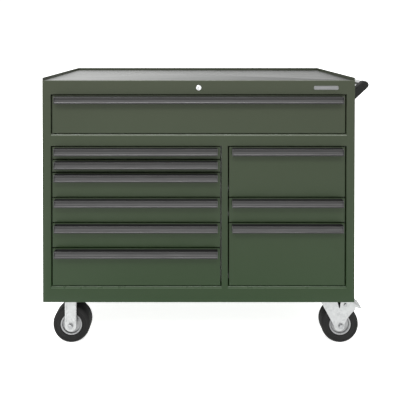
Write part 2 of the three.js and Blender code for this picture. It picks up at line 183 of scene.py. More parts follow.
def paint_finish(name, low, high, roughness=0.36, specular=0.15):
    """Powder coat: darker low down and lighter high up as painted shade and light, a slow drift of tone, fine
    orange peel, and dust that changes the gloss.
    """
    material, tree, shader = node_material(name, high, roughness=roughness, specular=specular)
    tone = noise(tree, 2.2, 2.0)
    # darker towards the bottom and lighter towards the top of the body: painted shade and light from above
    body = graded(tree, "Z", bottom_z, top_z, low, high)
    drift = ramp(tree, tone.outputs["Fac"], 0.93, 1.0)
    tree.links.new(times(tree, body, drift), shader.inputs["Base Color"])
    dust = noise(tree, 35.0, 5.0)
    gloss = ramp(tree, dust.outputs["Fac"], roughness - 0.05, roughness + 0.07)
    tree.links.new(gloss, shader.inputs["Roughness"])
    peel = noise(tree, 700.0, 2.0)
    bump(tree, shader, peel.outputs["Fac"], 0.00003)
    return material


def brushed_finish(name, base, along, metallic=0.85, roughness=0.36, contrast=0.16):
    """Metal with a fine grain that runs along one axis."""
    material, tree, shader = node_material(name, base, metallic=metallic, roughness=roughness)
    stretch = tuple(60 if axis == along else 1 for axis in "XYZ")
    grain = noise(tree, 900.0, 3.0, stretch)
    streaks = ramp(tree, grain.outputs["Fac"], shade(base, 1 - contrast), shade(base, 1 + contrast))
    tree.links.new(streaks, shader.inputs["Base Color"])
    soft = noise(tree, 9.0, 3.0)
    gloss = ramp(tree, soft.outputs["Fac"], roughness - 0.08, roughness + 0.1)
    tree.links.new(gloss, shader.inputs["Roughness"])
    bump(tree, shader, grain.outputs["Fac"], 0.00025 * contrast)
    return material


def sheet_finish(name, left, right):
    """Smooth coated sheet: lighter towards its left end as a painted reflection, with faint wiping marks."""
    material, tree, shader = node_material(name, left, metallic=0.2, roughness=0.32, specular=0.25)
    wiped = noise(tree, 26.0, 4.0, (5, 1, 1))
    # lighter at the left end and darker at the right: a painted reflection
    body = graded(tree, "X", left_x, right_x, left, right)
    marks = ramp(tree, wiped.outputs["Fac"], 0.95, 1.0)
    tree.links.new(times(tree, body, marks), shader.inputs["Base Color"])
    tree.links.new(ramp(tree, wiped.outputs["Fac"], 0.3, 0.38), shader.inputs["Roughness"])
    bump(tree, shader, wiped.outputs["Fac"], 0.00003)
    return material


def zinc_finish(name, base, roughness=0.34):
    """Bright zinc plate: a faint spangle and small scuffs."""
    material, tree, shader = node_material(name, base, metallic=0.75, roughness=roughness)
    spangle = noise(tree, 130.0, kind="ShaderNodeTexVoronoi")
    crystals = ramp(tree, spangle.outputs["Color"], shade(base, 0.9), shade(base, 1.06), 0.1, 0.9)
    tree.links.new(crystals, shader.inputs["Base Color"])
    scuff = noise(tree, 55.0, 6.0)
    gloss = ramp(tree, scuff.outputs["Fac"], roughness - 0.1, roughness + 0.14)
    tree.links.new(gloss, shader.inputs["Roughness"])
    bump(tree, shader, scuff.outputs["Fac"], 0.00008)
    return material


def grained_finish(name, base, roughness, grain_scale, depth, specular=0.4):
    """Moulded plastic or rubber with an even fine grain."""
    material, tree, shader = node_material(name, base, roughness=roughness, specular=specular)
    grain = noise(tree, grain_scale, 3.0)
    tone = noise(tree, 14.0, 4.0)
    mottle = ramp(tree, tone.outputs["Fac"], shade(base, 0.8), shade(base, 1.25))
    tree.links.new(mottle, shader.inputs["Base Color"])
    gloss = ramp(tree, grain.outputs["Fac"], roughness - 0.06, roughness + 0.08)
    tree.links.new(gloss, shader.inputs["Roughness"])
    bump(tree, shader, grain.outputs["Fac"], depth)
    return material


# metres between the crests of a wave pattern whose scale is 1
WAVE_PERIOD = 0.314


def ribbed_finish(name, base, pitch):
    """Rubber matting with fine ribs that run from front to back, with painted shade in the valleys between
    them.
    """
    material, tree, shader = node_material(name, base, roughness=0.7, specular=0.3)
    ribs = noise(tree, 1.0, kind="ShaderNodeTexWave")
    ribs.inputs["Scale"].default_value = WAVE_PERIOD / pitch
    grain = noise(tree, 800.0, 2.0)
    first = bump(tree, shader, ribs.outputs["Fac"], 0.0006)
    bump(tree, shader, grain.outputs["Fac"], 0.00005, first)
    # the valleys between the ribs darker, as painted shade
    valley_shade = ramp(tree, ribs.outputs["Fac"], shade(base, 0.6), base, 0.1, 0.6)
    tree.links.new(valley_shade, shader.inputs["Base Color"])
    return material


# the paint at the body's lower and upper edge, darker low down as painted shade and lighter high up as painted
# light from above, and what it is multiplied by for the painted highlight on the sills and on the drawer boxes
SHADED_LOW_GREEN = (0.0125, 0.0285, 0.0090)
LIT_HIGH_GREEN = (0.0320, 0.0375, 0.0240)
SILL_HIGHLIGHT_TONE = 1.5
INNER_TONE = 0.9

# the body's paint carries painted shade low down and painted light high up
paint = paint_finish("green_paint", SHADED_LOW_GREEN, LIT_HIGH_GREEN)
# the sills' slopes: the paint made lighter as a painted highlight, and glossier
sill_highlight_paint = paint_finish(
    "sill_highlight_paint", shade(SHADED_LOW_GREEN, SILL_HIGHLIGHT_TONE), shade(LIT_HIGH_GREEN, SILL_HIGHLIGHT_TONE), roughness=0.3, specular=0.6)
inner_paint = paint_finish(
    "inner_paint", shade(SHADED_LOW_GREEN, INNER_TONE), shade(LIT_HIGH_GREEN, INNER_TONE), roughness=0.5)
pull_metal = brushed_finish("pull_metal", (0.056, 0.0555, 0.056), "X", metallic=0.75, roughness=0.4)
cap_metal = brushed_finish("cap_metal", (0.06, 0.06, 0.06), "Z", metallic=0.6, roughness=0.4)
# the pull's metal made darker on its bead and groove, as painted shade
bead_painted_shade_metal = brushed_finish("bead_painted_shade_metal", (0.03, 0.0298, 0.03), "X", metallic=0.75, roughness=0.36)
# black for the pull's hollow and lower strip: painted shade and painted shadow
pull_painted_shade = grained_finish("pull_painted_shade", (0.006, 0.006, 0.006), 0.7, 500.0, 0.00002)
# the sheet's left-to-right grading is a painted reflection
work_sheet = sheet_finish("work_sheet", (0.135, 0.138, 0.135), (0.03, 0.032, 0.03))
zinc = zinc_finish("zinc", (0.33, 0.337, 0.338))
hub_metal = zinc_finish("hub_metal", (0.22, 0.223, 0.226), roughness=0.42)
steel = zinc_finish("bolt_steel", (0.26, 0.265, 0.27), roughness=0.3)
chrome = brushed_finish("lock_chrome", (0.66, 0.67, 0.68), "Y", metallic=1.0, roughness=0.16)
rubber = grained_finish("tyre_rubber", (0.0075, 0.0075, 0.0075), 0.62, 420.0, 0.0001, specular=0.12)
black_plastic = grained_finish("black_plastic", (0.0075, 0.0085, 0.0072), 0.5, 900.0, 0.00006, specular=0.14)
tube_metal = brushed_finish("tube_metal", (0.5, 0.505, 0.51), "Y", metallic=1.0, roughness=0.2)
# black for the keyhole: painted shade in the slot
keyhole_painted_shade = grained_finish("keyhole_painted_shade", (0.004, 0.004, 0.004), 0.7, 500.0, 0.00002)
liner_rubber = ribbed_finish("liner_rubber", (0.035, 0.036, 0.037), 6 * MM)
badge_metal = brushed_finish("badge_metal", (0.17, 0.173, 0.176), "X", metallic=0.8, roughness=0.36)

# ---- mesh tools -----------------------------------------------------------------------------------------

# an edge that turns by more degrees than this is a sharp one
SHARP_ANGLE = 35
# points closer than this are one point
SAME_PLACE = 1e-7


def soften(obj, width, segments=2):
    """Rounds every sharp edge, as a bend or a deburred edge is."""
    bevel = obj.modifiers.new("rounded_edges", "BEVEL")
    bevel.width = width
    bevel.segments = segments
    bevel.limit_method = "ANGLE"
    bevel.angle_limit = math.radians(SHARP_ANGLE)
    bevel.harden_normals = True


def piece(name, bm, material, body, bevel=0.0, segments=2, crease=SHARP_ANGLE):
    """Turns a bmesh into a shown piece that rides on a body."""
    bmesh.ops.remove_doubles(bm, verts=bm.verts, dist=SAME_PLACE)
    bmesh.ops.recalc_face_normals(bm, faces=bm.faces)
    mesh = bpy.data.meshes.new(name)
    bm.to_mesh(mesh)
    bm.free()
    mesh.materials.append(material)
    mesh.shade_smooth()
    obj = bpy.data.objects.new(name, mesh)
    scene.collection.objects.link(obj)
    if bevel:
        soften(obj, bevel, segments)
    else:
        mesh.set_sharp_from_angle(angle=math.radians(crease))
    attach(obj, body)
    return obj


def strip(bm, first, second):
    """The band of faces between two rings of vertices."""
    for i in range(len(first)):
        j = (i + 1) % len(first)
        bm.faces.new((first[i], first[j], second[j], second[i]))


def loft(rings, closed=False):
    """Joins rings that have equally many points, and caps the ends unless it closes on itself."""
    bm = bmesh.new()
    rows = [[bm.verts.new(point) for point in ring] for ring in rings]
    follow = rows[1:] + rows[:1] if closed else rows[1:]
    for a, b in zip(rows, follow):
        strip(bm, a, b)
    if not closed:
        bm.faces.new(rows[0][::-1])
        bm.faces.new(rows[-1])
    return bm


def spot(origin, toward):
    """A map from local (u, v, w) to the frame, with w along toward."""
    w = Vector(toward).normalized()
    u = Vector((0, 0, 1)).cross(w) if abs(w.z) < 0.9 else Vector((1, 0, 0))
    u.normalize()
    v = w.cross(u)
    start = Vector(origin)
    return lambda a, b, c: start + a * u + b * v + c * w


def plane_xz(u, v, w):
    return Vector((u, w, v))


def plane_xy(u, v, w):
    return Vector((u, v, w))


def plane_yz(u, v, w):
    return Vector((w, u, v))


def rounded(u0, u1, v0, v1, radius, steps=4):
    """A rectangle with round corners, as points."""
    corners = [(u1 - radius, v1 - radius, 0), (u0 + radius, v1 - radius, 90),
               (u0 + radius, v0 + radius, 180), (u1 - radius, v0 + radius, 270)]
    return [
        (u + radius * math.cos(angle), v + radius * math.sin(angle))
        for u, v, start in corners
        for angle in (math.radians(start + 90 * i / steps) for i in range(steps + 1))
    ]


def arc(u, v, radius, start, end, steps):
    """Points on an arc, both ends included; angles in degrees."""
    angles = [math.radians(start + (end - start) * i / steps) for i in range(steps + 1)]
    return [(u + radius * math.cos(a), v + radius * math.sin(a)) for a in angles]


def run(section, a, b, place):
    """A closed section in (u, v) run from a to b along w."""
    return loft([[place(u, v, w) for u, v in section] for w in (a, b)])


def turn(profile, place, steps=64, closed=False):
    """A profile of (radius, height) turned about the local w axis; it ends on the axis, or closes."""
    angles = [2 * math.pi * i / steps for i in range(steps)]
    rings = [[place(r * math.cos(a), r * math.sin(a), h) for a in angles] for r, h in profile]
    return loft(rings, closed=True) if closed else tube(rings)


def tube(rings):
    """Rings joined with no caps; the end rings are points on the axis."""
    bm = bmesh.new()
    rows = [[bm.verts.new(point) for point in ring] for ring in rings]
    for a, b in zip(rows, rows[1:]):
        strip(bm, a, b)
    bmesh.ops.remove_doubles(bm, verts=bm.verts, dist=SAME_PLACE)
    return bm


def block(x0, x1, y0, y1, z0, z1):
    return run([(x0, y0), (x1, y0), (x1, y1), (x0, y1)], z0, z1, plane_xy)


def slab(x0, x1, y0, y1, base, levels, corner, steps):
    """A lying sheet with round corners; a level is how far it is set in and how high above the base it is."""
    rings = []
    for inset, rise in levels:
        outline = rounded(x0 + inset, x1 - inset, y0 + inset, y1 - inset, corner, steps)
        rings.append([plane_xy(u, v, base + rise) for u, v in outline])
    return loft(rings)


def merged(*parts):
    """Several bmeshes as one."""
    whole = bmesh.new()
    for part in parts:
        mesh = bpy.data.meshes.new("part")
        part.to_mesh(mesh)
        part.free()
        whole.from_mesh(mesh)
        bpy.data.meshes.remove(mesh)
    return whole


def screw_head(place, radius, height):
    """A pan head with a cross recess left as a shallow dimple."""
    dome = [(radius * math.cos(math.radians(a)), height * math.sin(math.radians(a))) for a in range(0, 71, 10)]
    dimple = [(radius * 0.3, height * 0.9), (radius * 0.22, height * 0.55), (0, height * 0.5)]
    return turn([(0, -height * 0.2), (radius, -height * 0.2), *dome, *dimple], place, 20)


def hex_head(place, across, height):
    """A hexagon head on a washer."""
    washer = turn([(0, 0), (across * 0.72, 0), (across * 0.74, height * 0.08), (across * 0.72, height * 0.2),
                   (0, height * 0.2)], place, 28)
    corner = across / 2 / math.cos(math.radians(30))
    levels = [(corner, height * 0.18), (corner, height * 0.85), (corner * 0.9, height), (corner * 0.4, height)]
    turns = [math.radians(60 * i) for i in range(6)]
    rings = [[place(r * math.cos(a), r * math.sin(a), h) for a in turns] for r, h in levels]
    return merged(washer, loft(rings))


# ---- front frame ----------------------------------------------------------------------------------------

SHEET = 1.5 * MM
LIP_DEPTH = 20 * MM
LOCK_HOLE = 8.8 * MM
BEND_ANGLES = (0, 30, 60, 90)
# a face is a sill's slope, which takes the lighter paint of the painted highlight, where the product of its
# normal's y and z is below this
SILL_SLOPE = -0.15
# how an opening's edge turns in, mm: depth, how far the sides are from the opening, and how far the sill is
LIP_BEND = ((0, 2.0, 6.0), (0.2, 1.4, 5.6), (0.6, 0.9, 5.0), (1.6, 0.4, 3.4), (2.7, 0.12, 1.7),
            (3.6, 0.03, 0.4), (4.0, 0, 0))


def grown(hole, side, sill=None):
    """The corners of a rectangle made larger by side, or by sill along its lower edge."""
    x0, x1, z0, z1 = hole
    low = z0 - (side if sill is None else sill)
    return [(x0 - side, low), (x1 + side, low), (x1 + side, z1 + side), (x0 - side, z1 + side)]


def frame_mesh():
    """The pressed front: three openings whose edges bend back into lips, and a hole for the lock."""
    bm = bmesh.new()
    lock_low, lock_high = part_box("lock_housing")
    lock_x, lock_z = (lock_low.x + lock_high.x) / 2, (lock_low.z + lock_high.z) / 2
    lock_ring = arc(lock_x, lock_z, LOCK_HOLE, 0, 345, 23)

    def row(points, depth):
        return [bm.verts.new(plane_xz(u, v, face_y + depth)) for u, v in points]

    def skin(rows):
        edges = [bm.edges.get((r[i - 1], r[i])) for r in rows for i in range(len(r))]
        bmesh.ops.triangle_fill(bm, use_beauty=True, use_dissolve=False, edges=edges)

    edge_bend = 1.3 * MM
    outer = (left_x, right_x, bottom_z, top_z)
    outline = [grown(outer, edge_bend * (math.sin(math.radians(a)) - 1)) for a in BEND_ANGLES]
    depths = [edge_bend * (1 - math.cos(math.radians(a))) for a in BEND_ANGLES]
    rims = [row(points, depth) for points, depth in zip(outline, depths)]
    rims.append(row(grown(outer, 0), SHEET))
    for a, b in zip(rims, rims[1:]):
        strip(bm, a, b)
    fronts, backs = [rims[0]], [rims[-1]]
    for hole in openings:
        lips = []
        for depth, side, sill in LIP_BEND:
            lips.append(row(grown(hole, side * MM, sill * MM), depth * MM))
        lips.append(row(grown(hole, 0), LIP_DEPTH))
        lips.append(row(grown(hole, SHEET), LIP_DEPTH))
        lips.append(row(grown(hole, SHEET), SHEET))
        for a, b in zip(lips, lips[1:]):
            strip(bm, a, b)
        fronts.append(lips[0])
        backs.append(lips[-1])
    lock_front, lock_back = row(lock_ring, 0), row(lock_ring, SHEET)
    strip(bm, lock_front, lock_back)
    skin([*fronts, lock_front])
    skin([*backs, lock_back])
    return bm


def front_frame():
    """The pressing, with a lighter, glossier paint on the sills' slopes as a painted highlight, and the folds
    behind its top and bottom.
    """
    pressing = frame_mesh()
    pressing.normal_update()
    # the sills' slopes take the lighter paint of the painted highlight
    for face in pressing.faces:
        if face.normal.y * face.normal.z < SILL_SLOPE:
            face.material_index = 1
    made = piece("front_frame_pressing", pressing, paint, "cabinet", crease=50)
    made.data.materials.append(sill_highlight_paint)
    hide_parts("front_frame")
    mat_low, mat_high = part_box("top_mat")
    behind = face_y + 0.4 * MM
    nose = block(mat_low.x, mat_high.x, behind, face_y + 14 * MM, top_z - SHEET, top_z - 0.05 * MM)
    piece("front_frame_nose", nose, paint, "cabinet", bevel=0.5 * MM)
    side = 2 * MM
    toe = block(left_x + side, right_x - side, behind, face_y + 8 * MM, bottom_z + 0.05 * MM, bottom_z + SHEET)
    piece("front_frame_toe", toe, paint, "cabinet", bevel=0.5 * MM)


# ---- drawers --------------------------------------------------------------------------------------------

FLANGE = 14.5 * MM
SLIDE_SPACE = 13 * MM
BOX_LIFT = 6 * MM
BOX_HEADROOM = 11 * MM
BOX_WALL = 1.2 * MM


def drawer_front(label, low, high):
    """A folded pan: a flat face, bends round all four sides, and flanges behind it."""
    bend = 2.2 * MM
    profile = [(bend * (1 - math.sin(math.radians(a))), bend * (1 - math.cos(math.radians(a))))
               for a in (0, 18, 36, 54, 72, 90)]
    profile += [(0, FLANGE), (BOX_WALL, FLANGE), (BOX_WALL, bend), (bend, BOX_WALL)]
    rings = []
    for inset, depth in profile:
        corner = max(0.3 * MM, 2.4 * MM - inset)
        outline = rounded(low.x + inset, high.x - inset, low.z + inset, high.z - inset, corner, 3)
        rings.append([plane_xz(u, v, low.y + depth) for u, v in outline])
    made = piece(f"front_{label}", loft(rings), paint, f"drawer_{label}_body", crease=50)
    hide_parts(f"drawer_{label}")


def drawer_box(label, low, high):
    """The tray behind the front, with rolled top edges, its two slide members and a ribbed liner."""
    body = f"drawer_{label}_body"
    x0, x1 = low.x - SIDE_GAP + SLIDE_SPACE, high.x + SIDE_GAP - SLIDE_SPACE
    y0, y1 = low.y + 1.9 * MM, high.y
    z0, z1 = low.z + BOX_LIFT, high.z - BOX_HEADROOM
    roll = BOX_WALL / 2
    profile = [(0.8 * MM, z0), (0, z0 + 0.8 * MM), (0, z1 - roll)]
    profile += [(roll - roll * math.cos(math.radians(a)), z1 - roll + roll * math.sin(math.radians(a)))
                for a in (30, 60, 90, 120, 150, 180)]
    profile += [(BOX_WALL, z0 + BOX_WALL + 1 * MM), (BOX_WALL + 1 * MM, z0 + BOX_WALL)]
    rings = []
    for inset, z in profile:
        corner = max(0.3 * MM, 3 * MM - inset)
        outline = rounded(x0 + inset, x1 - inset, y0 + inset, y1 - inset, corner, 3)
        rings.append([plane_xy(u, v, z) for u, v in outline])
    piece(f"box_{label}", loft(rings), inner_paint, body, crease=50)
    gap = 4 * MM
    levels = ((0.4 * MM, 0.1 * MM), (0, 0.5 * MM), (0, 1.6 * MM), (0.5 * MM, 2.0 * MM))
    liner = slab(x0 + gap, x1 - gap, y0 + gap, y1 - gap, z0 + BOX_WALL, levels, 6 * MM, 4)
    piece(f"liner_{label}", liner, liner_rubber, body)
    rail_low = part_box(f"{bank_of(label)}_bank_left_rail")[0]
    for side, edge in ((-1, x0), (1, x1)):
        slide_member(label, body, side, edge, z0 + 16 * MM, rail_low.y, y1)


def bank_of(label):
    """The name of the drawer's bank: top, left or right."""
    return label.split("_")[0]


def slide_member(label, body, side, edge, level, y0, y1):
    """The moving member of a ball-bearing slide: a shallow channel, its open side against the drawer box."""
    reach, half, wall = 9.6 * MM, 4.8 * MM, 1.4 * MM
    section = [(0, -half), (reach - 2 * MM, -half), *arc(reach - 2 * MM, -half + 2 * MM, 2 * MM, -90, 0, 4)[1:],
               *arc(reach - 2 * MM, half - 2 * MM, 2 * MM, 0, 90, 4), (0, half), (0, half - wall),
               (reach - 2.6 * MM, half - wall), (reach - wall, half - 2.6 * MM),
               (reach - wall, -half + 2.6 * MM), (reach - 2.6 * MM, -half + wall), (0, -half + wall)]
    points = [(edge + side * u, level + v) for u, v in section]
    name = f"slide_{label}_{'left' if side < 0 else 'right'}"
    piece(name, run(points, y0, y1, plane_xz), zinc, body, crease=50)


# the pull's section, mm out from its back and up from its lower edge: how far out its hollow reaches, and how
# high the hollow's floor, the top of the dark strip below it and the bottom of the bead are. The hollow's black
# inside is painted shade, the dark strip a painted shadow, and the bead's darker metal painted shade
HOLLOW_REACH = 14.1
HOLLOW_FLOOR = 2.3
SHADOW_STRIP_TOP = 3.1
BEAD_BOTTOM = 14.5


def pull_points():
    """The pull's section as (out, up), mm: closed bottom, flared skirt, groove, bead, inside, back leaf."""
    flare = [(20.0 - 5.0 * math.sin(math.radians(9 * i)), 3.0 + 11.5 * (1 - math.cos(math.radians(9 * i))))
             for i in range(11)]
    bottom = arc(18.4, 1.6, 1.6, -90, 0, 4)
    neck = [(14.6, 18.6), (14.5, 20.2), (14.9, 21.6)]
    bead = arc(16.4, 24.2, 2.3, -115, 170, 14)
    inner = [(13.0, 22.0), (12.7, 19.0), (12.9, 15.0), (13.8, 9.0), (15.4, 5.2), (15.8, 3.6), (15.0, 2.4)]
    leaf = [(2.6, 2.4), (1.8, 3.2), (1.8, 26.1), (1.4, 26.5), (0, 26.5)]
    return [(0, 0), *bottom, *flare, *neck, *bead, *inner, *leaf]


def drawer_pull(label):
    """The extruded pull with painted shade in its hollow and a painted shadow along its lower edge, its bead
    darker as painted shade, and its two end caps.
    """
    low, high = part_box(f"pull_{label}")
    body = f"drawer_{label}_body"
    section = [(high.y - out * MM, low.z + up * MM) for out, up in pull_points()]
    cap = 1.6 * MM
    bar = run(section, low.x + cap * 0.6, high.x - cap * 0.6, plane_yz)
    # the hollow's inside and a strip along the lower edge take black as painted shade and shadow; the bead and
    # groove a darker metal as painted shade
    for face in bar.faces:
        middle = face.calc_center_median()
        inside = high.y - middle.y < HOLLOW_REACH * MM and middle.z > low.z + HOLLOW_FLOOR * MM
        if inside or middle.z < low.z + SHADOW_STRIP_TOP * MM:
            face.material_index = 1
        elif middle.z > low.z + BEAD_BOTTOM * MM:
            face.material_index = 2
    made = piece(f"pull_bar_{label}", bar, pull_metal, body, crease=40)
    made.data.materials.append(pull_painted_shade)
    made.data.materials.append(bead_painted_shade_metal)
    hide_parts(f"pull_{label}")
    outline = [(0, 0), (17.6, 0), *arc(18.2, 1.9, 1.9, -80, 10, 4), (18.9, 8), (18.9, 24.2),
               *arc(16.8, 24.4, 2.1, 0, 90, 5), (1.2, 26.5), (0, 25.9)]
    points = [(high.y - out * MM, low.z + up * MM) for out, up in outline]
    for end, x in (("left", low.x), ("right", high.x - cap)):
        piece(f"pull_cap_{label}_{end}", run(points, x, x + cap, plane_yz), cap_metal, body,
              bevel=0.5 * MM)


def all_drawers():
    for label in drawers:
        low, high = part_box(f"drawer_{label}")
        drawer_front(label, low, high)
        drawer_box(label, low, high)
        drawer_pull(label)


# ---- cabinet panels, top and rails ----------------------------------------------------------------------


def cad_finish(name, material, bevel=0.0):
    """A CAD node that keeps its shape and gets its finish and, where asked, rounded edges."""
    obj = nodes[name]
    obj.data.materials.clear()
    obj.data.materials.append(material)
    if bevel:
        obj.data.shade_smooth()
        soften(obj, bevel)


def cabinet_panels():
    for name in ("left_side_panel", "right_side_panel", "bottom_panel", "bank_divider"):
        cad_finish(name, paint, 0.5 * MM)
    cad_finish("back_panel", paint)
    cad_finish("top_tray", paint, 0.7 * MM)
    for name in nodes:
        if name.endswith("_rail"):
            cad_finish(name, zinc)
    cad_finish("lock_rod", zinc)


def top_sheet():
    """The smooth sheet that lies inside the rim, with round corners and a softened edge."""
    low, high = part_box("top_mat")
    thick = high.z - low.z
    levels = ((0.3 * MM, 0), (0, 0.4 * MM), (0, thick - 0.8 * MM), (0.25 * MM, thick - 0.25 * MM),
              (0.8 * MM, thick))
    sheet = slab(low.x, high.x, low.y, high.y, low.z, levels, 3 * MM, 4)
    made = piece("top_sheet", sheet, work_sheet, "cabinet", crease=50)
    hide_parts("top_mat")


SCREWS_PER_SIDE = 7


def panel_fixings():
    """Two upright rows of screws that hold the back panel to the side panels' flanges."""
    low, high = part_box("back_panel")
    heads = []
    for x in (low.x + 12 * MM, high.x - 12 * MM):
        for i in range(SCREWS_PER_SIDE):
            z = low.z + 30 * MM + (high.z - low.z - 60 * MM) * i / (SCREWS_PER_SIDE - 1)
            heads.append(screw_head(spot((x, back_y, z), (0, 1, 0)), 4 * MM, 2 * MM))
    piece("back_screws", merged(*heads), steel, "cabinet")


def badge():
    """A blank name plate, with nothing on it."""
    wide, tall, thick = 92 * MM, 15 * MM, 1.2 * MM
    x = right_x - 108 * MM
    z = top_z - 27 * MM
    levels = ((0, 0), (0, thick - 0.5 * MM), (0.5 * MM, thick), (1.6 * MM, thick), (2.0 * MM, thick - 0.4 * MM))
    rings = []
    for step, out in levels:
        outline = rounded(x - wide / 2 + step, x + wide / 2 - step, z - tall / 2 + step, z + tall / 2 - step,
                          4.5 * MM - step, 6)
        rings.append([plane_xz(u, v, face_y - out) for u, v in outline])
    piece("blank_badge", loft(rings), badge_metal, "cabinet", crease=30)


# ---- lock -----------------------------------------------------------------------------------------------


def lock():
    """The bezel, the plug with the cam behind it, and the keyhole."""
    low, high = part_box("lock_housing")
    centre = ((low.x + high.x) / 2, face_y, (low.z + high.z) / 2)
    place = spot(centre, (0, -1, 0))
    radius = (high.x - low.x) / 2
    face_up = face_y - low.y
    bore = 6.5 * MM
    barrel = 8.4 * MM
    back = face_y - high.y
    rounding = 1.2 * MM
    edge = [(radius - rounding + rounding * math.cos(math.radians(a)),
             face_up - rounding + rounding * math.sin(math.radians(a))) for a in (0, 22, 45, 67, 90)]
    profile = [(radius, 0.1 * MM), *edge, (bore + 1.2 * MM, face_up), (bore + 0.3 * MM, face_up - 0.3 * MM),
               (bore, face_up - 1 * MM), (bore, back), (barrel, back), (barrel, 0.1 * MM)]
    bezel = turn(profile, place, 48, closed=True)
    made = piece("lock_bezel", bezel, chrome, "cabinet", crease=40)
    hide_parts("lock_housing")
    plug = 6.2 * MM
    front = face_up - 0.6 * MM
    plug_back = back - 3 * MM
    profile = [(0, front), (plug - 0.5 * MM, front), (plug, front - 0.5 * MM),
               (plug, plug_back), (0, plug_back)]
    cam_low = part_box("lock_cylinder")[0].z - centre[2]
    cam_points = arc(0, 0, 7 * MM, 0, 180, 10)
    cam_points += [(-5 * MM, cam_low + 4 * MM), *arc(0, cam_low + 5 * MM, 5 * MM, 180, 360, 8)]
    cam = loft([[Vector((centre[0] + u, face_y - back + gap * MM, centre[2] + v)) for u, v in cam_points]
                for gap in (0.3, 3.0)])
    made = piece("lock_plug", merged(turn(profile, place, 40), cam), chrome, "lock", crease=40)
    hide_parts("lock_cylinder")
    # the keyhole: a thin black insert as painted shade in the slot
    slot_points = rounded(-0.9 * MM, 0.9 * MM, -3.4 * MM, 3.4 * MM, 0.5 * MM, 2)
    rings = [[place(u, v, front + rise) for u, v in slot_points] for rise in (-0.4 * MM, 0.06 * MM)]
    piece("keyhole", loft(rings), keyhole_painted_shade, "lock")


# ---- side handle ----------------------------------------------------------------------------------------

# how far the tube's axis is above the arms' middle line at the cabinet's side
HANDLE_DROP = 49 * MM


def side_handle():
    """The tube between two sloping arms, each with a plug on its outer face and a screw in its foot."""
    tube_low, tube_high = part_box("side_handle_tube")
    tube_x, tube_z = (tube_low.x + tube_high.x) / 2, (tube_low.z + tube_high.z) / 2
    radius = (tube_high.x - tube_low.x) / 2
    half_length = (tube_high.y - tube_low.y) / 2
    middle = (tube_x, (tube_low.y + tube_high.y) / 2, tube_z)
    place = spot(middle, (0, 1, 0))
    profile = [(0, -half_length), (radius, -half_length), (radius, half_length), (0, half_length)]
    made = piece("handle_tube", turn(profile, place, 48), tube_metal, "cabinet", crease=40)
    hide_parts("side_handle_tube")
    for end in ("front", "rear"):
        name = f"side_handle_bracket_{end}"
        low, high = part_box(name)
        arm = 15 * MM
        foot = 7 * MM
        angle = math.degrees(math.atan2(HANDLE_DROP, tube_x - low.x))
        lift = arm / math.cos(math.radians(angle))
        slope = math.tan(math.radians(angle))
        base = tube_z - HANDLE_DROP
        points = [(low.x, low.z), (low.x + foot, low.z), (low.x + foot, base - lift + foot * slope)]
        points += arc(tube_x, tube_z, arm, angle - 90, angle + 90, 18)
        points += [(low.x + foot, base + lift + foot * slope), (low.x + foot, high.z), (low.x, high.z)]
        points = [(u, min(v, high.z)) for u, v in points]
        made = piece(f"handle_arm_{end}", run(points, low.y, high.y, plane_xz), black_plastic, "cabinet",
                     bevel=2.2 * MM, segments=3)
        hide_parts(name)
        outer_y, outward = (low.y, -1) if end == "front" else (high.y, 1)
        profile = [(0, 0), (9 * MM, 0), (9 * MM, 0.8 * MM), (8.2 * MM, 1.4 * MM), (0, 1.4 * MM)]
        boss = turn(profile, spot((tube_x, outer_y, tube_z), (0, outward, 0)), 32)
        piece(f"handle_arm_plug_{end}", boss, black_plastic, "cabinet")
        foot_face = spot((low.x + foot, (low.y + high.y) / 2, low.z + 8 * MM), (1, 0, 0))
        head = screw_head(foot_face, 4.4 * MM, 2.4 * MM)
        piece(f"handle_screw_{end}", head, steel, "cabinet")


# ---- casters --------------------------------------------------------------------------------------------


